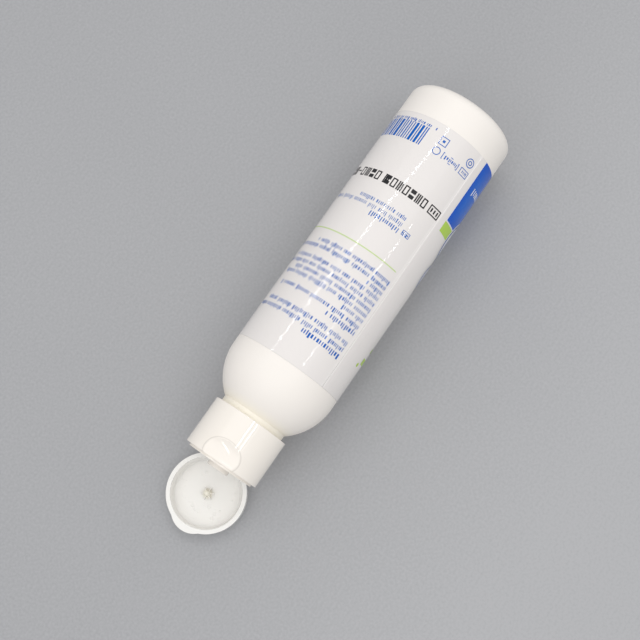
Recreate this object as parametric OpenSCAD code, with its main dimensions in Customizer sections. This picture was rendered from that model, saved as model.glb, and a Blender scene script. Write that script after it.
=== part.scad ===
// Round squeeze bottle of gel with a wrap label and a screw cap with a flip-top lid.
// It lies on its side with the lid open: +X runs from the base to the cap, +Z is up,
// and the origin is the middle of its footprint on the surface it lies on.
// Each piece is drawn upright round the Z axis, with the lid's hinge towards +X and
// the thumb recess towards -X, and is then laid down.

/* [Bottle] */
// Outside diameter of the straight wall
body_d = 39.2; // [34:0.2:46]
// Height at which the straight wall ends and the shoulder starts
straight_h = 108.4; // [80:0.2:130]
// Radius of the domed shoulder
shoulder_r = 20.8; // [18:0.2:26]
// Radius of the heel
heel_r = 3.2; // [2:0.1:6]
// Wall thickness of the body
wall = 0.9; // [0.6:0.05:1.4]
// Radius of the flat that the bottle stands on, measured to its inner edge
foot_in_r = 13; // [9:0.2:13.4]
// Height of the hollow in the base
push_up = 2.6; // [1:0.1:4]
// Diameter of the ring at the foot of the neck
ring_d = 23.6; // [22.4:0.1:23.7]
// Height of that ring above the shoulder
ring_h = 3.2; // [2.4:0.1:4]
// Diameter of the neck at the root of its thread
neck_d = 21.5; // [20:0.1:21.8]
// Diameter of the bore through the neck
mouth_d = 16.8; // [15:0.1:17.6]
// Height of the neck's rim above the shoulder
neck_h = 16.25; // [16:0.05:18]

/* [Label] */
// Thickness of the label film
film_t = 0.1; // [0.06:0.01:0.2]
// Thickness of the glue under the film
glue_t = 0.02; // [0.01:0.01:0.05]
// Height of the label's lower edge above the base
label_z0 = 12.7; // [6:0.1:30]
// Height of the label
label_h = 93; // [60:0.5:95]
// Angle of the overlap's free edge, from the top of the lying bottle towards +Y
seam_angle = 46; // [0:1:60]
// Width of the overlap
overlap_w = 2.9; // [2:0.1:4]

/* [Print] */
// Thickness of the printed fields of colour
ink_t = 0.05; // [0.03:0.01:0.08]
// Height of the blue panel, which starts at the label's lower edge
panel_h = 24.3; // [12:0.1:26]
// Angle over which the blue panel runs round the bottle
panel_angle = 95; // [40:1:105]
// Height of the green band above the panel
band_h = 3.9; // [2:0.1:6]
// Distance of the thin green line from the label's lower edge
line_up = 48.8; // [34:0.1:58]
// Height of the thin green line
line_h = 0.35; // [0.2:0.05:1]
// Angle over which the thin green line runs round the bottle
line_angle = 150; // [60:1:160]

/* [Cap] */
// Outside diameter of the cap and its lid
cap_d = 27.3; // [26.4:0.02:29]
// Height of the cap's skirt
skirt_h = 17; // [15:0.1:17.6]
// Diameter of the bore round the thread
thread_bore_d = 23.9; // [23.8:0.05:24.2]
// Diameter of the narrower bore round the neck's rim
seal_bore_d = 22; // [21.9:0.05:22.4]
// Height of the narrower bore
seal_bore_h = 4.5; // [3.6:0.1:5]
// Thickness of the cap's deck
deck_t = 1.6; // [1.3:0.1:2.2]
// Height of the raised land on the deck
land_h = 0.75; // [0.5:0.05:1]
// Outside diameter of the spout
spout_d = 7.9; // [6:0.1:9]
// Height of the spout above the land
spout_h = 1.6; // [1.2:0.1:2]
// Diameter of the orifice
orifice_d = 2.8; // [2.6:0.1:3.4]
// Length of the plug ring that enters the neck
plug_l = 3; // [2:0.1:4]
// Wall thickness of the plug ring
plug_t = 0.9; // [0.6:0.1:1.4]
// Thickness of the sealing washer
washer_t = 1; // [0.6:0.1:1.4]

/* [Thumb recess] */
// Depth of the recess in the skirt
recess_depth = 1.7; // [1:0.05:1.8]
// Radius of the scoop along the cap
recess_r = 7.5; // [6.5:0.1:9]
// Radius of the scoop's crown across the cap
recess_crown_r = 60; // [40:1:100]
// Distance from the top of the skirt to the deepest line of the scoop
recess_drop = 2.4; // [1.6:0.1:2.8]

/* [Lid] */
// Height of the lid
lid_h = 6.27; // [5.8:0.01:7.4]
// Thickness of the lid's top
lid_top_t = 1.2; // [0.8:0.1:1.6]
// Wall thickness of the lid at its rim
rim_t = 1.4; // [1:0.05:1.6]
// Depth of the seat that fits over the land
seat_h = 1; // [0.9:0.05:1.2]
// Thickening of the lid's wall from the seat to its floor
wall_taper = 0.85; // [0:0.05:1.2]
// Radius between the inside wall and the floor
floor_r = 0.9; // [0.4:0.1:1.4]
// Radius of the outer edge of the lid's top
crown_r = 1.2; // [0.6:0.1:1.5]
// How far the thumb tab stands out of the lid
tab_out = 1.05; // [0.6:0.05:2]
// Width of the thumb tab
tab_w = 11; // [8:0.2:14]
// Thickness of the thumb tab
tab_t = 2; // [1.2:0.1:3]
// Diameter of the closing pin at its tip
pin_tip_d = 1.7; // [1.4:0.05:1.8]
// Diameter of the closing pin at its root
pin_root_d = 2.2; // [1.9:0.05:2.4]
// How far the closed pin enters the orifice
pin_in = 1.2; // [0.6:0.1:1.4]
// Number of gusset ribs round the pin
ribs = 6; // [4:1:8]
// Distance from the pin's axis to the outer end of a rib
rib_out = 2.3; // [1.6:0.1:3]
// Height of a rib
rib_h = 2.4; // [1:0.1:2.6]
// Thickness of a rib
rib_t = 0.45; // [0.3:0.05:0.7]

/* [Hinge] */
// Distance of the hinge flat on the cap and the lid from the cap's axis
flat_at = 11.85; // [11.8:0.05:12.1]
// Height of the hinge flat on the skirt
flat_h = 4.2; // [3.8:0.1:4.8]
// Distance of the hinge line outside the hinge flat
hinge_out = 0.25; // [0.2:0.05:0.4]
// Distance of the hinge line below the top of the skirt
hinge_drop = 1.3; // [1.1:0.05:1.6]
// Width of the hinge
hinge_w = 9; // [5:0.5:11]
// Radius of the rounded web on the hinge line
web_r = 0.3; // [0.25:0.01:0.35]
// Running clearance round the web
web_gap = 0.03; // [0.02:0.01:0.06]
// Thickness of the lid's strap round the web
strap_t = 0.37; // [0.3:0.01:0.45]

/* [Gel] */
// Height of the gel's top above the base
gel_top = 110; // [60:1:112]
// Clearance between the gel and the bottle's wall
gel_gap = 0.1; // [0.05:0.05:0.3]

/* [Hidden] */

$fn = 160;
eps = 0.01;
far = 100;

// Clearances of pieces that seat on or slide in each other
seat_gap = 0.05;
plug_gap = 0.1;
land_gap = 0.1;
rim_gap = 0.05;

// Bottle
body_r = body_d / 2;
ring_r = ring_d / 2;
neck_r = neck_d / 2;
mouth_r = mouth_d / 2;
dome_at = body_r - shoulder_r;
dome_h = sqrt(pow(shoulder_r, 2) - pow(ring_r - dome_at, 2));
shoulder_top = straight_h + dome_h;
rim_z = shoulder_top + neck_h;
rim_edge = 0.5;
neck_sink = 2;
push_r = (pow(foot_in_r, 2) + pow(push_up, 2)) / (2 * push_up);

// Label, and how far the axis of the lying bottle is above the surface
film_in_r = body_r + glue_t;
film_out_r = film_in_r + film_t;
overlap_angle = overlap_w / film_out_r * 180 / PI;
axis_up = film_out_r;

// Fields of print, with their edges beside the overlap as angles from the top towards +Y
ink_gap = 0.01;
ink_in_r = film_out_r + ink_gap;
panel_space = 0.1;
panel_from = seam_angle + overlap_angle + panel_space;
text_margin = 6.5;
line_to = seam_angle - text_margin;
panel_z1 = label_z0 + panel_h;
band_step = 0.15;
band_z0 = panel_z1 + band_step;

// Cap
cap_r = cap_d / 2;
deck_under = rim_z + washer_t + 2 * seat_gap;
deck_z = deck_under + deck_t;
skirt_z0 = deck_z - skirt_h;
thread_bore_r = thread_bore_d / 2;
seal_bore_r = seal_bore_d / 2;
lead_in = 0.5;
skirt_edge = 0.15;
plug_r = mouth_r - plug_gap;
land_r = cap_r - rim_t - land_gap;
land_z = deck_z + land_h;
spout_r = spout_d / 2;
spout_z = land_z + spout_h;
spout_edge = 0.5;
spout_roof = 1.3;
spout_wall = 1.1;
orifice_r = orifice_d / 2;
countersink = 0.5;
recess_z = deck_z - recess_drop;
recess_at = cap_r - recess_depth + recess_r;

// Lid, drawn closed on the cap
lid_z = deck_z + rim_gap;
lid_in_r = cap_r - rim_t;
lid_floor = lid_h - lid_top_t;
taper_angle = atan(wall_taper / (lid_floor - seat_h));
floor_arc_r = lid_in_r - wall_taper + floor_r * tan(taper_angle) - floor_r / cos(taper_angle);
tab_reach = cap_r + tab_out;
tab_half = tab_w / 2;
tab_chord = sqrt(pow(cap_r, 2) - pow(tab_half, 2));
tab_sag = tab_reach - tab_chord;
tab_r = (pow(tab_half, 2) + pow(tab_sag, 2)) / (2 * tab_sag);
pin_tip_z = spout_z - pin_in;
pin_l = lid_z + lid_floor - pin_tip_z;

// Hinge, and the angle at which the open lid comes to rest on the surface
hinge_at = flat_at + hinge_out;
hinge_z = deck_z - hinge_drop;
hinge_up = axis_up - hinge_at;
lid_down = lid_z + lid_h - hinge_z;
lid_open = lid_down > hinge_up ? asin(hinge_up / lid_down) : 90 + asin((hinge_up - lid_down) / cap_d);
strap_up = 1.6;
socket_angle = 70;
socket_end = 12;
inner_flat = flat_at - rim_t;
land_flat = inner_flat - land_gap;

// Length along X from the base to the tip of the open lid's tab
total_l = hinge_z + (hinge_at + tab_reach) * sin(lid_open) + (lid_z - hinge_z) * cos(lid_open);

// Lays an upright piece on its side and centres the whole on the origin
module lay_down() {
    translate([-total_l / 2, 0, axis_up]) rotate([0, 90, 0]) children();
}

// Opens the lid, which is drawn closed, about the hinge line
module open_lid() {
    translate([hinge_at, 0, hinge_z])
        rotate([0, lid_open, 0])
            translate([-hinge_at, 0, -hinge_z])
                children();
}

// Waste outside a rounded corner of radius r, whose arc is centred on the origin
module corner_waste(r) {
    difference() {
        square(r + 1);
        circle(r);
    }
}

// Half section of the bottle's body, set in by d from the outside
module body_section(d) {
    difference() {
        union() {
            translate([0, d]) square([body_r - heel_r, heel_r]);
            translate([body_r - heel_r, heel_r]) circle(heel_r - d);
            translate([0, heel_r]) square([body_r - d, straight_h - heel_r]);
            intersection() {
                translate([dome_at, straight_h]) circle(shoulder_r - d);
                translate([0, straight_h - eps]) square([body_r, dome_h + eps]);
            }
        }
        translate([0, push_up - push_r]) circle(push_r + d);
        translate([-far, -far]) square([far, 2 * far]);
    }
}

// Half section of the neck with its ring and rounded rim
module neck_section() {
    translate([0, shoulder_top - neck_sink]) square([neck_r, neck_h + neck_sink - rim_edge]);
    translate([0, rim_z - rim_edge - eps]) square([neck_r - rim_edge, rim_edge + eps]);
    translate([neck_r - rim_edge, rim_z - rim_edge]) circle(rim_edge);
    translate([0, shoulder_top - neck_sink / 2]) square([ring_r, ring_h + neck_sink / 2]);
}

module bottle() {
    color([0.97, 0.95, 0.93]) lay_down() rotate_extrude() difference() {
        union() {
            body_section(0);
            neck_section();
        }
        body_section(wall);
        translate([0, straight_h]) square([mouth_r, far]);
    }
}

module label_film() {
    color([0.95, 0.96, 0.98]) lay_down() {
        rotate_extrude()
            translate([film_in_r, label_z0]) square([film_t, label_h]);
        rotate([0, 0, 180 - seam_angle - overlap_angle])
            rotate_extrude(angle = overlap_angle)
                translate([film_out_r - film_t / 2, label_z0]) square([film_t * 1.5, label_h]);
    }
}

// Field of print on the label, between two heights and two angles from the top towards +Y
module ink_field(z0, z1, from, to) {
    rotate([0, 0, 180 - to]) rotate_extrude(angle = to - from)
        translate([ink_in_r, z0]) square([ink_t, z1 - z0]);
}

module print_blue() {
    color([0.20, 0.33, 0.60]) lay_down()
        ink_field(label_z0 + ink_gap, panel_z1, panel_from, panel_from + panel_angle);
}

module print_green() {
    color([0.62, 0.75, 0.31]) lay_down() {
        ink_field(band_z0, band_z0 + band_h, panel_from, panel_from + panel_angle);
        ink_field(label_z0 + line_up, label_z0 + line_up + line_h, line_to - line_angle, line_to);
    }
}

module gel_fill() {
    color([0.80, 0.89, 0.93, 0.8]) lay_down() rotate_extrude() intersection() {
        body_section(wall + gel_gap);
        square([body_r, gel_top]);
    }
}

module seal_washer() {
    color([0.93, 0.93, 0.92]) lay_down() rotate_extrude()
        translate([mouth_r, rim_z + seat_gap])
            square([seal_bore_r - seat_gap - mouth_r, washer_t]);
}

// Half section of the cap without its flats, recess and spout
module cap_section() {
    difference() {
        union() {
            translate([0, skirt_z0]) square([cap_r, skirt_h]);
            translate([0, deck_z]) square([land_r, land_h]);
        }
        translate([cap_r - skirt_edge, deck_z - skirt_edge]) corner_waste(skirt_edge);
        translate([cap_r - skirt_edge, skirt_z0 + skirt_edge]) mirror([0, 1]) corner_waste(skirt_edge);
        translate([0, skirt_z0 - eps])
            square([thread_bore_r, deck_under - seal_bore_h - skirt_z0 + eps]);
        translate([0, skirt_z0 - eps]) square([seal_bore_r, deck_under - skirt_z0 + eps]);
        polygon([
            [0, skirt_z0 - eps],
            [thread_bore_r + lead_in + eps, skirt_z0 - eps],
            [thread_bore_r, skirt_z0 + lead_in],
            [0, skirt_z0 + lead_in]
        ]);
    }
}

// Half section of the plug ring, with a lead at its end
module plug_section() {
    polygon([
        [plug_r - plug_t, deck_under + eps],
        [plug_r - plug_t, deck_under - plug_l],
        [plug_r - plug_t / 2, deck_under - plug_l],
        [plug_r, deck_under - plug_l + plug_t],
        [plug_r, deck_under + eps]
    ]);
}

// Half section of the spout, solid
module spout_section() {
    difference() {
        translate([0, deck_z]) square([spout_r, spout_z - deck_z]);
        translate([spout_r - spout_edge, spout_z - spout_edge]) corner_waste(spout_edge);
    }
}

// Half section of the passage through the deck and the spout
module passage_section() {
    translate([0, deck_under - eps])
        square([spout_r - spout_wall, spout_z - spout_roof - deck_under + eps]);
    translate([0, deck_under]) square([orifice_r, far]);
    polygon([
        [0, spout_z - countersink],
        [orifice_r, spout_z - countersink],
        [orifice_r + countersink + eps, spout_z + eps],
        [0, spout_z + eps]
    ]);
}

// Scoop for the thumb: a crowned roller that lies across the cap
module thumb_scoop() {
    translate([-recess_at, 0, recess_z]) rotate([90, 0, 0]) rotate_extrude() intersection() {
        translate([recess_r - recess_crown_r, 0]) circle(recess_crown_r);
        translate([0, -cap_r]) square([recess_r + 1, cap_d]);
    }
}

// Block that cuts the flat for the hinge at a distance from the axis, between two heights
module hinge_flat(at, z0, z1) {
    translate([at, -cap_r, z0]) cube([cap_r, cap_d, z1 - z0]);
}

module cap_base() {
    color([0.96, 0.94, 0.91]) lay_down() {
        difference() {
            union() {
                rotate_extrude() cap_section();
                rotate_extrude() spout_section();
                rotate_extrude() plug_section();
            }
            rotate_extrude() passage_section();
            hinge_flat(flat_at, deck_z - flat_h, deck_z + eps);
            hinge_flat(land_flat, deck_z, land_z + eps);
            thumb_scoop();
        }
        cap_web();
    }
}

// Rounded web on the hinge line, which stands on the cap's flat
module cap_web() {
    translate([hinge_at, 0, hinge_z]) rotate([90, 0, 0]) {
        cylinder(h = hinge_w, r = web_r, center = true);
        translate([-hinge_out - web_r, -web_r / 2, -hinge_w / 2])
            cube([hinge_out + web_r, web_r, hinge_w]);
    }
}

// Half section of the lid's outside
module lid_outside() {
    difference() {
        translate([0, lid_z]) square([cap_r, lid_h]);
        translate([cap_r - crown_r, lid_z + lid_h - crown_r]) corner_waste(crown_r);
    }
}

// Half section of the lid's hollow: a seat, a tapered wall and a rounded floor edge
module lid_hollow() {
    translate([0, lid_z]) {
        translate([0, -eps]) square([lid_in_r, seat_h + eps]);
        polygon([
            [0, 0],
            [lid_in_r, seat_h],
            [floor_arc_r + floor_r * cos(taper_angle),
                lid_floor - floor_r + floor_r * sin(taper_angle)],
            [floor_arc_r, lid_floor],
            [0, lid_floor]
        ]);
        translate([floor_arc_r, lid_floor - floor_r]) circle(floor_r);
    }
}

// Half section of the closing pin, which hangs from the closed lid's top
module pin_section() {
    tip_r = pin_tip_d / 2;
    root_r = pin_root_d / 2;
    tip_edge = tip_r / 2;
    polygon([
        [0, pin_tip_z],
        [tip_r - tip_edge, pin_tip_z],
        [tip_r, pin_tip_z + tip_edge],
        [root_r, pin_tip_z + pin_l + eps],
        [0, pin_tip_z + pin_l + eps]
    ]);
}

// Gusset ribs round the pin's root
module pin_ribs() {
    root_z = lid_z + lid_floor;
    for (i = [0 : ribs - 1])
        rotate([90, 0, i * 360 / ribs])
            linear_extrude(height = rib_t, center = true)
                polygon([
                    [0, root_z + eps],
                    [0, root_z - rib_h],
                    [pin_tip_d / 2, root_z - rib_h],
                    [rib_out, root_z - rib_h / 4],
                    [rib_out, root_z + eps]
                ]);
}

// Thumb tab: a crescent level with the lid's rim
module lid_tab() {
    translate([tab_r - tab_reach, 0, lid_z]) cylinder(h = tab_t, r = tab_r);
}

// Strap from the lid's flat down to the hinge line, with a socket round the web
module lid_strap() {
    socket_r = web_r + web_gap;
    strap_r = socket_r + strap_t;
    difference() {
        union() {
            translate([hinge_at, 0, hinge_z]) rotate([90, 0, 0]) {
                translate([0, 0, -hinge_w / 2])
                    rotate([0, 0, 90 + socket_end - socket_angle])
                        rotate_extrude(angle = socket_angle) square([strap_r, hinge_w]);
            }
            translate([hinge_at, -hinge_w / 2, hinge_z + socket_r])
                cube([strap_r, hinge_w, lid_z - hinge_z - socket_r + strap_up]);
            translate([flat_at - rim_t / 2, -hinge_w / 2, lid_z])
                cube([rim_t / 2 + hinge_out, hinge_w, strap_up]);
        }
        translate([hinge_at, 0, hinge_z]) rotate([90, 0, 0])
            cylinder(h = hinge_w + 1, r = socket_r, center = true);
    }
}

module cap_lid() {
    color([0.95, 0.94, 0.91]) lay_down() open_lid() {
        difference() {
            union() {
                difference() {
                    rotate_extrude() lid_outside();
                    hinge_flat(flat_at, lid_z - eps, lid_z + lid_h + eps);
                }
                lid_tab();
            }
            difference() {
                rotate_extrude() lid_hollow();
                hinge_flat(inner_flat, lid_z - 1, lid_z + lid_h + 1);
            }
        }
        rotate_extrude() pin_section();
        pin_ribs();
        lid_strap();
    }
}

bottle();
label_film();
print_blue();
print_green();
gel_fill();
seal_washer();
cap_base();
cap_lid();
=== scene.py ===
"""Round squeeze bottle of gel on its side, with its wrap label and its open flip-top cap."""
import math

import bpy
import numpy as np
from mathutils import Matrix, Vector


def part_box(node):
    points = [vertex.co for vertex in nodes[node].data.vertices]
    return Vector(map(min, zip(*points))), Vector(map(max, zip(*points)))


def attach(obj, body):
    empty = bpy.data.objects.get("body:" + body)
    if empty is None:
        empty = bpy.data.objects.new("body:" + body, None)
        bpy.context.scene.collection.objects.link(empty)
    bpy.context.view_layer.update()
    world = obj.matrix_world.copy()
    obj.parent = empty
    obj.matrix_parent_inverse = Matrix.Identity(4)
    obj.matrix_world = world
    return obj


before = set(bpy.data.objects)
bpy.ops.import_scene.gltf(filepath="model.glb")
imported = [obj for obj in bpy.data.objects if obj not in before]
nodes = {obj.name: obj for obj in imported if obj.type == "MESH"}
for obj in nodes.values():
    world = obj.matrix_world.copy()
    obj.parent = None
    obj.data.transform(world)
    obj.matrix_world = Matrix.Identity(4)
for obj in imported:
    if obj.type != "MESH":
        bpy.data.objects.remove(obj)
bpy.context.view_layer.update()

MM = 0.001
# The bottle's axis runs along X: its base is at BASE_X, and AXIS_UP is its height over the floor
BASE_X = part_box("bottle")[0].x
AXIS_UP = (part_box("label_film")[0].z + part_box("label_film")[1].z) / 2
FILM_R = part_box("label_film")[1].z - AXIS_UP
# Heights above the base, in mm, and angles from the top towards +Y, in degrees
LABEL_LOW, LABEL_HIGH = 12.7, 105.7
SEAM, OVERLAP = 46.0, 8.43
PARTING = -22.1
# Height of the axis of the open lid, in mm
LID_AT = 154.39
# The thumb recess is a barrel of this radius and crown; its axis lies across the cap, at this height
# above the base and this far above the cap's axis
RECESS_R, RECESS_CROWN = 7.5, 60.0
RECESS_AT, RECESS_UP = 141.2, 19.45
# Radii of the print: just proud of the film, then of the fields in the frame, then of the discs
PRINT_R = FILM_R + 0.03 * MM
PANEL_PRINT_R = FILM_R + 0.066 * MM
TOP_PRINT_R = FILM_R + 0.070 * MM


# Surfaces

def around(height, angle, radius):
    """Points on the bottle: x = base + height, y = r sin a, z = axis + r cos a (mm, degrees, m)."""
    a = np.radians(angle)
    height, a, radius = np.broadcast_arrays(height * MM, a, radius)
    return np.stack([BASE_X + height, radius * np.sin(a), AXIS_UP + radius * np.cos(a)], -1)


def grid_faces(rows, cols, closed=False):
    """Corner numbers of the quads of a rows by cols grid of points. Where it is closed, the last
    column is joined to the first."""
    i = np.arange(rows - 1)[:, None] * cols
    j = np.arange(cols if closed else cols - 1)[None, :]
    j2 = (j + 1) % cols
    return np.stack([i + j, i + cols + j, i + cols + j2, i + j2], -1).reshape(-1, 4)


def make_piece(name, points, faces, body, material, normals=None):
    """A smooth piece of an array of points and a list of faces, riding on a body, with an array of
    point normals if given."""
    mesh = bpy.data.meshes.new(name)
    mesh.from_pydata(points.reshape(-1, 3).tolist(), [], faces)
    mesh.polygons.foreach_set("use_smooth", np.ones(len(mesh.polygons), bool))
    mesh.materials.append(material)
    if normals is not None:
        mesh.normals_split_custom_set_from_vertices(normals.reshape(-1, 3).tolist())
    piece = bpy.data.objects.new(name, mesh)
    bpy.context.scene.collection.objects.link(piece)
    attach(piece, body)
    return piece


def patches(name, rects, radius, material, body="bottle", arc_steps=3):
    """Flat print on the bottle: each rect (h0, h1, a0, a1) is the cylinder's strip between two
    heights and two angles, as a 2 by (arc_steps + 1) grid with the cylinder's own normals."""
    r = np.asarray(rects, float)
    t = np.linspace(0, 1, arc_steps + 1)
    first, last = np.minimum(r[:, 2], r[:, 3]), np.maximum(r[:, 2], r[:, 3])
    angle = (first[:, None] + (last - first)[:, None] * t)[:, None, :]
    height = np.sort(r[:, :2], axis=1)[:, :, None]
    return print_grids(name, height, angle, radius, material, body)


def ring_patches(name, rings, radius, material, steps=48, rows=2, body="bottle"):
    """Printed rings and discs: (height, angle, inner, outer) in mm; a point at t on a circle of
    radius q is at height h + q cos t and at angle a + q sin t over the bottle's radius."""
    g = np.asarray(rings, float)
    t = np.linspace(0, 2 * np.pi, steps + 1)
    q = (g[:, 2:3] + (g[:, 3:4] - g[:, 2:3]) * np.linspace(0, 1, rows))[:, :, None]
    height = g[:, 0, None, None] + q * np.cos(t)
    angle = g[:, 1, None, None] + np.degrees(q * np.sin(t) * MM / radius)
    return print_grids(name, height, angle, radius, material, body)


def print_grids(name, height, angle, radius, material, body):
    """One piece of many grids on a cylinder, [grid, row, column], with the cylinder's normals."""
    height, angle = np.broadcast_arrays(height, angle)
    count, rows, cols = height.shape
    one = grid_faces(rows, cols)
    faces = (one[None] + rows * cols * np.arange(count)[:, None, None]).reshape(-1, 4).tolist()
    a = np.radians(angle)
    normals = np.stack([np.zeros_like(a), np.sin(a), np.cos(a)], -1)
    return make_piece(name, around(height, angle, radius), faces, body, material, normals)


def thread_ridge(name, root_r, crest_r, start, pitch, turns, root_w, crest_w, body, material):
    """A screw thread as a closed ridge: a section with a broad root and a narrow crest is carried
    along the right-handed helix x = start + pitch t / 2 pi, a = -t. Its size falls smoothly to a
    fiftieth over the first and last 40 degrees."""
    steps_a_turn, smallest = 96, 0.02
    t = np.linspace(0, turns * 2 * np.pi, int(turns * steps_a_turn) + 1)
    fade = np.clip(np.minimum(t, t[-1] - t) / math.radians(40), 0, 1)
    fade = smallest + (1 - smallest) * fade * fade * (3 - 2 * fade)
    flank_w = (root_w + crest_w) / 2
    along = np.array([-0.5 * root_w, -0.42 * flank_w, -0.5 * crest_w,
                      0.5 * crest_w, 0.42 * flank_w, 0.5 * root_w])
    rise = np.array([0.0, 0.45, 1.0, 1.0, 0.45, 0.0])
    x = start + pitch * t[:, None] / (2 * np.pi) + along * fade[:, None]
    r = root_r + (crest_r - root_r) * rise * fade[:, None]
    points = around(x, -np.degrees(t)[:, None], r * MM)
    rows, cols = x.shape
    first, last = list(range(cols)), list(range((rows - 1) * cols, rows * cols))
    ends = [first, last[::-1]]
    faces = grid_faces(rows, cols, closed=True).tolist() + ends
    if crest_r < root_r:
        faces = [face[::-1] for face in faces]
    return make_piece(name, points, faces, body, material)


# Shader maths

class Value:
    """A node's output. Arithmetic on it adds Math nodes to the tree that it is in."""

    def __init__(self, owner, socket):
        self.owner, self.socket = owner, socket

    def maths(self, operation, *others, clamp=False):
        """A Math node with this value as its first input and the others after it."""
        return self.owner.add("ShaderNodeMath", dict(operation=operation, use_clamp=clamp),
                              dict(enumerate((self, *others))))

    def __add__(self, other):
        return self.maths("ADD", other)

    __radd__ = __add__

    def __sub__(self, other):
        return self.maths("SUBTRACT", other)

    def __rsub__(self, other):
        return self.maths("MULTIPLY_ADD", -1.0, other)

    def __mul__(self, other):
        return self.maths("MULTIPLY", other)

    __rmul__ = __mul__

    def __truediv__(self, other):
        return self.maths("DIVIDE", other)

    def __rtruediv__(self, other):
        return self.maths("POWER", -1.0) * other

    def clamped(self):
        return self.maths("ADD", 0.0, clamp=True)

    def root(self):
        return self.maths("SQRT")


class Nodes:
    """The node tree of a material or a world."""

    def __init__(self, owner, shader):
        owner.use_nodes = True
        self.tree = owner.node_tree
        self.shader = self.tree.nodes[shader]

    def add(self, kind, settings=None, inputs=None, out=0):
        """One output of a new node: its settings are made first, then its inputs, each with a
        number, a colour or a Value to link to."""
        node = self.tree.nodes.new(kind)
        for key, value in (settings or {}).items():
            if key == "stops":
                ramp = node.color_ramp
                while len(ramp.elements) < len(value):
                    ramp.elements.new(0.5)
                for stop, (at, colour) in zip(ramp.elements, value):
                    stop.position, stop.color = at, (*colour, 1.0)
            else:
                setattr(node, key, value)
        for key, value in (inputs or {}).items():
            self.put(node.inputs[key], value)
        return Value(self, node.outputs[out])

    def put(self, socket, value):
        """Links the value to the socket, or sets it there."""
        if isinstance(value, Value):
            self.tree.links.new(value.socket, socket)
        elif isinstance(value, tuple) and socket.type == "RGBA":
            socket.default_value = (*value, 1.0)
        else:
            socket.default_value = value


class Finish(Nodes):
    """A material with one plastic shader, whose patterns read Object coordinates."""

    def __init__(self, name):
        self.material = bpy.data.materials.new(name)
        super().__init__(self.material, "Principled BSDF")
        self.place = self.add("ShaderNodeTexCoord", out="Object")

    def noise(self, size, detail=2.0, rough=0.5, stretch=None):
        """Noise with features of about that size in mm, from 0 to 1, stretched along X if asked."""
        place = self.place
        if stretch:
            place = self.add("ShaderNodeMapping", {}, {"Vector": place, "Scale": (1 / stretch, 1, 1)})
        return self.add("ShaderNodeTexNoise", {}, {"Vector": place, "Scale": 1 / (size * MM),
                                                   "Detail": detail, "Roughness": rough})

    def speckles(self, size):
        """Distance to the nearest of scattered points, as a share of their spacing, size, in mm."""
        return self.add("ShaderNodeTexVoronoi", {}, {"Vector": self.place, "Scale": 1 / (size * MM)})

    def xyz(self):
        """The three Object coordinates, in m."""
        x = self.add("ShaderNodeSeparateXYZ", {}, {0: self.place})
        return [Value(self, output) for output in x.socket.node.outputs]

    def blend(self, mask, first, second):
        """Colour first where the mask is 0 and second where it is 1."""
        return self.add("ShaderNodeMix", {"data_type": "RGBA"}, {0: mask, 6: first, 7: second}, 2)

    def between(self, value, low, high, soft):
        """1 between low and high and 0 outside, with a ramp of width soft centred on each."""
        return ((value - low) / soft + 0.5).clamped() * ((high - value) / soft + 0.5).clamped()

    def bump(self, height, distance, strength=1.0, under=None):
        """The normal with that height pattern, which is distance high in m, over the one under it."""
        inputs = {"Height": height, "Distance": distance, "Strength": strength}
        if under is not None:
            inputs["Normal"] = under
        return self.add("ShaderNodeBump", {}, inputs)

    def plastic(self, **values):
        """Sets the shader's sockets, given by their names with _ for a space."""
        for key, value in values.items():
            self.put(self.shader.inputs[key.replace("_", " ")], value)
        return self.material


def height_and_angle(finish):
    """Height above the base in mm and angle from the top towards +Y in degrees."""
    x, y, z = finish.xyz()
    height = (x - BASE_X) / MM
    angle = y.maths("ARCTAN2", z - AXIS_UP) * (180 / math.pi)
    return height, angle


# Finishes

def bottle_finish():
    """Satin blow-moulded polyethylene with a faintly uneven skin, the mould's parting line on two
    sides and a painted warm glow on the neck ring, for light shining through the thin plastic."""
    f = Finish("white_satin_polyethylene")
    height, angle = height_and_angle(f)
    broad, skin = f.noise(30.0), f.noise(1.6, detail=3.0)
    line = f.between(angle, PARTING - 0.2, PARTING + 0.2, 0.3)
    line = line + f.between(angle, PARTING + 179.8, PARTING + 180.2, 0.3)
    # Painted glow: a warmer, lighter band on the neck ring, for light shining through the thin
    # plastic
    painted_ring_glow = f.between(height, 123.5, 128.2, 4.0)
    colour = f.blend(broad, (0.905, 0.855, 0.795), (0.920, 0.874, 0.820))
    colour = f.blend(painted_ring_glow * 0.6, colour, (0.945, 0.90, 0.745))
    normal = f.bump(skin, 0.000012, 0.5)
    normal = f.bump(line, 0.00003, 0.6, under=normal)
    return f.plastic(Base_Color=colour, Roughness=skin * 0.12 + 0.34, Normal=normal, IOR=1.5)


def film_look(f, colour):
    """Gloss varnish over printed film, with fine wrinkles that break up its highlights."""
    wrinkle, slow = f.noise(1.7, detail=1.0), f.noise(9.0, detail=1.0)
    normal = f.bump(wrinkle, 0.000026, 1.0)
    normal = f.bump(slow, 0.000010, 1.0, under=normal)
    return f.plastic(Base_Color=colour, Roughness=wrinkle * 0.03 + 0.025, Normal=normal, IOR=1.42)


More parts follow.
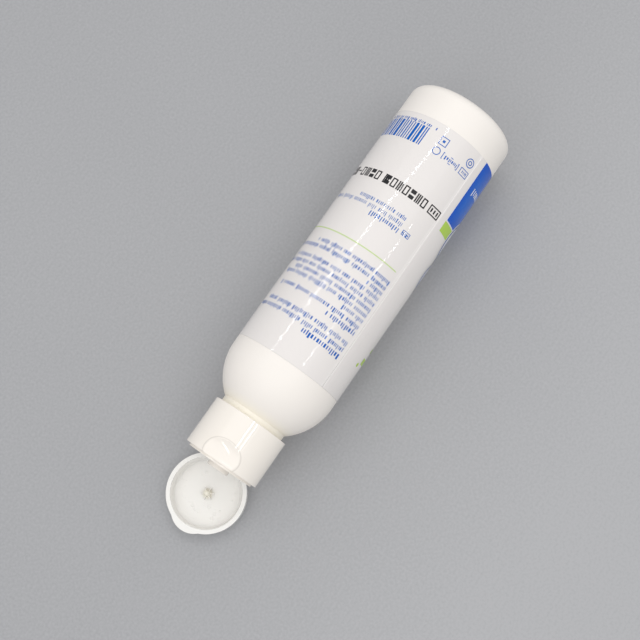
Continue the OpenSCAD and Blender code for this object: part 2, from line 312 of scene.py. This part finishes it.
def label_finish():
    """White film, with a painted highlight along the overlap, painted light on the overlap's step
    and a painted shade line at its upper rim.
    """
    f = Finish("white_label_film")
    height, angle = height_and_angle(f)
    tone = f.noise(14.0)
    colour = f.blend(tone, (0.800, 0.762, 0.735), (0.820, 0.785, 0.760))
    # Painted highlight: a lighter band along the overlap's step, where it catches a glint
    band = f.between(angle, SEAM - 3.0, SEAM + 1.2, 1.2)
    colour = f.blend(band * 0.4, colour, (0.91, 0.875, 0.85))
    # Painted light on the overlap step's side face, against the shade it gets from facing sideways
    painted_step_light = f.between(angle, SEAM - 0.2, SEAM + 0.2, 0.2)
    colour = f.blend(painted_step_light * 0.8, colour, (0.96, 0.93, 0.91))
    # Painted shade: a darker line along the film's upper rim
    painted_rim_shade = f.between(height, LABEL_HIGH - 0.3, LABEL_HIGH + 0.3, 0.2)
    colour = f.blend(painted_rim_shade * 0.25, colour, (0.70, 0.68, 0.66))
    return film_look(f, colour)


def ink_finish(name, light, dark, grain=0.5):
    """Printed ink under the varnish, a little uneven."""
    f = Finish(name)
    return film_look(f, f.blend(f.noise(grain, detail=3.0), light, dark))


def panel_finish():
    """Blue panel, lighter in its middle and deeper beside its edges."""
    f = Finish("blue_panel_ink")
    height, angle = height_and_angle(f)
    inner = f.between(height, LABEL_LOW + 3.5, LABEL_LOW + 20.8, 7.0)
    inner = inner * f.between(angle, SEAM + OVERLAP + 5.0, SEAM + OVERLAP + 90.0, 9.0)
    colour = f.blend(inner, (0.001, 0.088, 0.545), (0.008, 0.130, 0.585))
    return film_look(f, f.blend(f.noise(0.5) * 0.25, colour, (0.004, 0.095, 0.49)))


def green_finish():
    """Yellow-green ink, printed paler in the thin line than in the band and the pills."""
    f = Finish("green_ink")
    height, angle = height_and_angle(f)
    colour = f.blend(f.noise(0.5, detail=3.0), (0.47, 0.68, 0.105), (0.43, 0.63, 0.09))
    return film_look(f, f.blend(f.between(height, 60.0, 63.0, 0.5), colour, (0.56, 0.70, 0.30)))


def moulded(f, light, dark, gloss):
    """Colour, roughness and bump of glossy moulded polypropylene with faint flow marks."""
    flow = f.noise(6.0, detail=2.0, stretch=4.0)
    skin = f.noise(0.9, detail=2.0)
    normal = f.bump(skin, 0.0000015, 1.0)
    normal = f.bump(flow, 0.00002, 1.0, under=normal)
    return f.blend(flow, light, dark), skin * 0.03 + gloss, normal


def cap_finish():
    """Glossy white polypropylene of the cap, with a painted shade line round the thumb recess."""
    f = Finish("white_glossy_polypropylene")
    colour, rough, normal = moulded(f, (0.925, 0.868, 0.790), (0.935, 0.882, 0.812), 0.03)
    x, y, z = f.xyz()
    along = (x - BASE_X) / MM - RECESS_AT
    across = y / MM
    up = (z - AXIS_UP) / MM - RECESS_UP
    outside = (along * along + up * up).root() + across * across / (2 * RECESS_CROWN) - RECESS_R
    # Painted shade: a darker line just outside the thumb recess's edge
    colour = f.blend(f.between(outside, 0.15, 0.40, 0.15) * 0.6, colour, (0.70, 0.65, 0.59))
    return f.plastic(Base_Color=colour, Roughness=rough, Normal=normal, IOR=1.49)


def lid_finish():
    """The same plastic, thin enough to let light through, tinted by gel on the pin and with small
    sink marks on the floor of the cup."""
    f = Finish("lid_polypropylene")
    colour, rough, normal = moulded(f, (0.872, 0.855, 0.818), (0.888, 0.872, 0.838), 0.05)
    x, y, z = f.xyz()
    along = x - (BASE_X + LID_AT * MM)
    off_axis = (along * along + y * y).root() / MM
    pin = f.between(off_axis, -1.0, 1.5, 1.2)
    colour = f.blend(pin * 0.6, colour, (0.875, 0.82, 0.655))
    floor_only = f.between(off_axis, 3.5, 10.0, 2.0)
    sink = f.between(f.speckles(1.7), -1.0, 0.33, 0.16) * f.between(f.noise(6.0), 0.56, 2.0, 0.06)
    normal = f.bump(sink * floor_only, 0.00013, 1.0, under=normal)
    return f.plastic(Base_Color=colour, Roughness=rough, Normal=normal, IOR=1.49)


def foam_finish():
    """Closed-cell foam of the sealing washer."""
    f = Finish("washer_foam")
    cell = f.speckles(0.35)
    return f.plastic(Base_Color=f.blend(cell, (0.80, 0.80, 0.79), (0.90, 0.90, 0.88)),
                     Roughness=cell * 0.2 + 0.6, Normal=f.bump(cell, 0.00005, 0.6))


def gel_finish():
    """Clear gel with small bubbles."""
    f = Finish("clear_gel")
    bubble = f.speckles(2.5)
    spot = f.between(bubble, -1.0, 0.16, 0.05)
    return f.plastic(Base_Color=f.blend(spot, (0.80, 0.88, 0.90), (0.94, 0.97, 0.98)),
                     Roughness=spot * 0.2 + 0.08, Transmission_Weight=0.9, IOR=1.34)


white_plastic = bottle_finish()
label_white = label_finish()
panel_blue = panel_finish()
band_green = green_finish()
text_blue = ink_finish("blue_ink", (0.0, 0.10, 0.44), (0.003, 0.13, 0.52), 0.3)
pale_blue = ink_finish("pale_blue_ink", (0.004, 0.11, 0.44), (0.012, 0.14, 0.50), 0.3)
deep_blue = ink_finish("deep_blue_ink", (0.006, 0.050, 0.28), (0.010, 0.062, 0.32), 0.4)
code_black = ink_finish("black_ink", (0.012, 0.012, 0.014), (0.03, 0.03, 0.032), 0.25)
panel_white = ink_finish("white_ink", (0.79, 0.79, 0.80), (0.74, 0.75, 0.78), 0.4)
cap_white = cap_finish()
lid_white = lid_finish()

for node, material in {
    "bottle": white_plastic, "label_film": label_white, "print_blue": panel_blue,
    "print_green": band_green, "gel_fill": gel_finish(), "seal_washer": foam_finish(),
    "cap_base": cap_white, "cap_lid": lid_white,
}.items():
    for material_slot in nodes[node].material_slots:
        material_slot.material = material


# Print on the label

rng = np.random.RandomState(7)
# Degrees round the film for each mm
DEG = math.degrees(MM / FILM_R)


def text_row(height, start, end, size=1.2, stroke=0.27, weight=1.0, word=5.0):
    """A row of plain upright strokes in groups, from angle start down to end, most of one height."""
    marks, at, left = [], start, rng.poisson(word) + 3
    while at > end:
        if left == 0:
            at -= 0.6 * size * DEG
            left = rng.poisson(word) + 3
        wide = stroke * weight * rng.choice([0.8, 1.0, 1.0, 1.0, 1.7])
        tall = size * rng.choice([1.0, 1.0, 1.0, 1.0, 1.4])
        low = -0.3 * size if rng.rand() < 0.07 else 0.0
        marks.append((height + low, height + tall, at, at - wide * DEG))
        at -= (wide + size * rng.choice([0.26, 0.34, 0.42])) * DEG
        left -= 1
    return marks


def frame_rects(h0, h1, a0, a1, line):
    """The four sides of a printed frame, from angle a0 down to a1."""
    d = line * DEG
    return [(h0, h0 + line, a0, a1), (h1 - line, h1, a0, a1),
            (h0, h1, a0, a0 - d), (h0, h1, a1 + d, a1)]


small_rows = []
for height, end in [(92.5, -72), (90, -62), (83.7, -59), (81.3, 15), (79.2, -66), (77, -55),
                    (74.8, -80), (72.5, -67), (70.3, 21), (68.3, -80), (66, -47)]:
    small_rows += text_row(height - 0.6, 40.5, end)
for height, end in [(94.8, -4), (86, 6)]:
    small_rows += text_row(height - 0.65, 40.5, end, size=1.35, weight=1.5, word=9)
small_rows += text_row(14.9, -14, -70, size=0.9, word=1) + [(14.9, 15.8, -7.5, -8.6)]
for h0, h1, a0, a1 in [(20.4, 22.9, 30, 10.5), (20.4, 22.9, 44, 33)]:
    small_rows += frame_rects(h0, h1, a0, a1, 0.24)
    small_rows += text_row(21.1, a0 - 2, a1 + 2.5, size=1.0, stroke=0.26)
small_rows += frame_rects(16.1, 19.2, 9, 0.5, 0.26) + [(17.2, 18.1, 6, 3.5)]
patches("label_print_rows", small_rows, PRINT_R, text_blue, arc_steps=2)

bars, at = [], -14.0
for wide, gap in ((0.40, 0.40), (0.40, 0.55), (0.90, 0.45), (0.40, 0.50), (1.00, 0.50), (0.40, 0.60),
                  (0.40, 0.50), (0.50, 0.60), (0.45, 0.50), (0.45, 0.60), (1.20, 0.50), (0.50, 0.50),
                  (0.95, 0.75), (0.55, 0.65), (1.00, 0.85), (0.60, 0.80), (0.80, 0.0)):
    bars.append((16.1, 23.0, at, at - wide * DEG))
    at -= (wide + gap) * DEG
patches("label_print_bars", bars, PRINT_R, text_blue, arc_steps=1)

ring_patches("label_print_rings", [(21.6, 3.5, 1.15, 1.42), (17.6, 38.5, 1.35, 1.65),
                                   (17.6, 38.5, 0.5, 0.8)], PRINT_R, text_blue)

pale_rows = (text_row(45.7, 17, -35, stroke=0.24) + text_row(47.9, 17, -72, stroke=0.2)
             + text_row(50.0, 17, -14, size=1.3, weight=1.3)
             + frame_rects(49.3, 51.1, 30, 21, 0.2) + text_row(49.9, 28.5, 22, size=0.7))
patches("label_print_pale_rows", pale_rows, PRINT_R, pale_blue, arc_steps=2)

# Stamped row: a frame with bars, then boxes, bars and blocks on a fixed pitch
CODE_LOW, CODE_HIGH, CODE_PITCH, CODE_WIDE = 36.6, 39.9, 7.0, 5.4
code = frame_rects(CODE_LOW, CODE_HIGH, 44, 29.5, 0.42)
code += [(37.5, 39.0, a, a - 1.7) for a in (41.4, 37.6, 33.8)]
for start, shapes in ((25.5, "oisoios"), (-18.0, "x"), (-28.5, "osio-is")):
    for k, shape in enumerate(shapes):
        a = start - CODE_PITCH * k
        b = a - CODE_WIDE
        if shape in "ox":
            code += frame_rects(CODE_LOW, CODE_HIGH, a, b, 0.45)
        if shape == "x":
            code += [(37.5, 39.0, a - 1.6, b + 1.6)]
        if shape == "i":
            code += [(CODE_LOW, CODE_HIGH, left, right) for left, right in
                     ((a, a - 1.4), (a - 2.0, b + 2.0), (b + 1.4, b))]
        if shape == "s":
            code += [(CODE_LOW, 38.0, a, b), (38.6, CODE_HIGH, a, b)]
        if shape == "-":
            code += [(38.0, 38.5, a, b)]
patches("label_print_code", code, PRINT_R, code_black, arc_steps=4)

# The panel's row runs the other way from its start, so it is mirrored about that angle
ROW_START = 64
white_rows = [(h0, h1, 2 * ROW_START - a0, 2 * ROW_START - a1) for h0, h1, a0, a1 in
              text_row(21.6, ROW_START, 2, size=2.0, stroke=0.45, weight=1.2, word=6)]
patches("panel_print_rows", white_rows, PANEL_PRINT_R, panel_white, arc_steps=2)

# White lines along the panel's top and down the side that starts beside the overlap
PANEL_TOP, PANEL_SIDE = 36.65, SEAM + OVERLAP + 0.1
patches("panel_print_edge", [(PANEL_TOP, PANEL_TOP + 0.4, PANEL_SIDE, 149.5)], PANEL_PRINT_R,
        panel_white, arc_steps=64)
patches("panel_print_side", [(LABEL_LOW, PANEL_TOP, PANEL_SIDE, PANEL_SIDE + 0.9)], PANEL_PRINT_R,
        panel_white, arc_steps=1)

# The middles of the two round marks of the front
BIG_MARK, SMALL_MARK = (40.0, 103.0), (54.6, 97.0)
ring_patches("front_print_discs", [(*BIG_MARK, 0.01, 9.5), (*SMALL_MARK, 0.01, 6.2)],
             PANEL_PRINT_R, panel_white, steps=120, rows=16)
ring_patches("front_print_rings", [(*BIG_MARK, 7.9, 8.9), (*SMALL_MARK, 4.9, 5.7)],
             TOP_PRINT_R, deep_blue, steps=120, rows=8)
ring_patches("front_print_spots", [(*BIG_MARK, 0.01, 5.0), (*SMALL_MARK, 0.01, 2.9)],
             TOP_PRINT_R, panel_blue, steps=96, rows=12)
patches("label_print_pills", [(89.0, 91.4, 77, 118), (84.6, 86.2, 84, 134)], PRINT_R, band_green,
        arc_steps=24)
ring_patches("label_print_dots", [(92.4, 71.5, 0.01, 0.75), (92.4, 124.0, 0.01, 0.75)], PRINT_R,
             band_green)


# Threads

THREAD_PITCH, THREAD_TURNS = 3.175, 1.5
thread_ridge("neck_thread", 10.70, 11.62, 130.6, THREAD_PITCH, THREAD_TURNS, 1.35, 0.30,
             "bottle", white_plastic)
thread_ridge("cap_thread", 12.00, 11.02, 129.0, THREAD_PITCH, THREAD_TURNS, 1.20, 0.28,
             "cap", cap_white)


# Floor, lights and camera

FLOOR_HALF = 12.0


def floor():
    """Pale grey floor, flat, with a very faint mottle and painted light that makes it a little
    lighter on the bottle's +Y side.
    """
    f = Finish("pale_grey_floor")
    mottle, grain = f.noise(160.0, detail=3.0), f.noise(0.9, detail=2.0)
    across = f.xyz()[1]
    # Painted light: the floor's tone rises towards the bottle's +Y side, on top of the mottle and
    # grain
    tone = mottle * 0.5 + grain * 1.5 - 0.5 + (across * 9.0 + 0.1).clamped() * 0.6 - 0.2
    material = f.plastic(Base_Color=f.blend(tone, (0.358, 0.360, 0.370), (0.440, 0.442, 0.451)),
                         Roughness=grain * 0.2 + 0.55, Specular_IOR_Level=0.3)
    steps = 5
    u = np.linspace(-FLOOR_HALF, FLOOR_HALF, steps)
    x, y = np.meshgrid(u, u, indexing="ij")
    mesh = bpy.data.meshes.new("floor")
    mesh.from_pydata(np.stack([x, y, 0 * x], -1).reshape(-1, 3).tolist(), [],
                     grid_faces(steps, steps).tolist())
    mesh.materials.append(material)
    obj = bpy.data.objects.new("floor", mesh)
    bpy.context.scene.collection.objects.link(obj)


def facing(back, up):
    """Axes of a lamp or camera that looks along -back, with its picture's up near up."""
    back = np.asarray(back, float) / np.linalg.norm(back)
    right = np.cross(up, back)
    right /= np.linalg.norm(right)
    return np.stack([right, np.cross(back, right), back], 1)


def placed(obj, axes, at):
    """The object, in the scene, turned to those axes at that place."""
    matrix = Matrix.Identity(4)
    for row in range(3):
        matrix[row][:3] = axes[row]
        matrix[row][3] = at[row]
    obj.matrix_world = matrix
    bpy.context.scene.collection.objects.link(obj)
    return obj


def area_lamp(name, at, target, size, watts, colour=(1, 1, 1), along=(0, 1, 0)):
    """A rectangular lamp whose longer side, size[1], runs along the given direction."""
    data = bpy.data.lights.new(name, "AREA")
    data.shape, data.size, data.size_y = "RECTANGLE", size[0], size[1]
    data.energy, data.color = watts, colour
    axes = facing(np.asarray(at, float) - np.asarray(target, float), along)
    return placed(bpy.data.objects.new(name, data), axes, at)


def strip_lamp(name, start, end, width, watts):
    """A narrow lamp that looks straight down, between two points at its ends."""
    start, end = np.array(start), np.array(end)
    middle, along = (start + end) / 2, end - start
    area_lamp(name, middle, middle - (0, 0, 1), (width, np.linalg.norm(along)), watts, along=along)


def studio_world(lit, seen):
    """An even pale room: its strength is lit on surfaces, and seen in the picture, in gloss and
    through clear gel."""
    world = bpy.data.worlds.new("studio")
    room = Nodes(world, "Background")
    direct, in_gloss, through_gel = [room.add("ShaderNodeLightPath", out=ray) for ray in (
        "Is Camera Ray", "Is Glossy Ray", "Is Transmission Ray")]
    shown = direct.maths("MAXIMUM", in_gloss).maths("MAXIMUM", through_gel)
    room.put(room.shader.inputs["Strength"], shown * (seen - lit) + lit)
    room.put(room.shader.inputs["Color"], (0.97, 0.98, 1.0))
    return world


floor()
area_lamp("soft_top", (0.02, -0.04, 1.15), (0, 0, 0.02), (1.9, 1.9), 6.6, (1.0, 0.985, 0.965))
strip_lamp("tube_near", (-0.353, -0.041, 0.8), (-0.082, -0.646, 0.8), 0.011, 0.46)
strip_lamp("tube_far", (-0.322, 0.749, 0.8), (-0.067, 0.378, 0.8), 0.010, 0.26)
strip_lamp("tube_end", (0.50, -0.145, 0.8), (1.05, -0.10, 0.8), 0.025, 0.60)
strip_lamp("lamp_near", (0.0, 0.213, 0.8), (0.045, 0.213, 0.8), 0.03, 0.09)
strip_lamp("lamp_far", (0.0, 0.404, 0.8), (0.045, 0.404, 0.8), 0.03, 0.09)
bpy.context.scene.world = studio_world(lit=0.71, seen=0.45)

camera = bpy.data.cameras.new("camera")
camera.lens, camera.sensor_width, camera.clip_start = 62.99, 36.0, 0.01
# Columns are the camera's right, up and back
camera_axes = np.array([[-0.56807504, 0.82287393, -0.01300957],
                        [-0.80922739, -0.55563697, 0.19083654],
                        [0.14980581, 0.11893718, 0.98153562]]).T
bpy.context.scene.camera = placed(bpy.data.objects.new("camera", camera), camera_axes,
                                  (0.057460, 0.043916, 0.386188))
bpy.context.scene.view_settings.view_transform = "Standard"
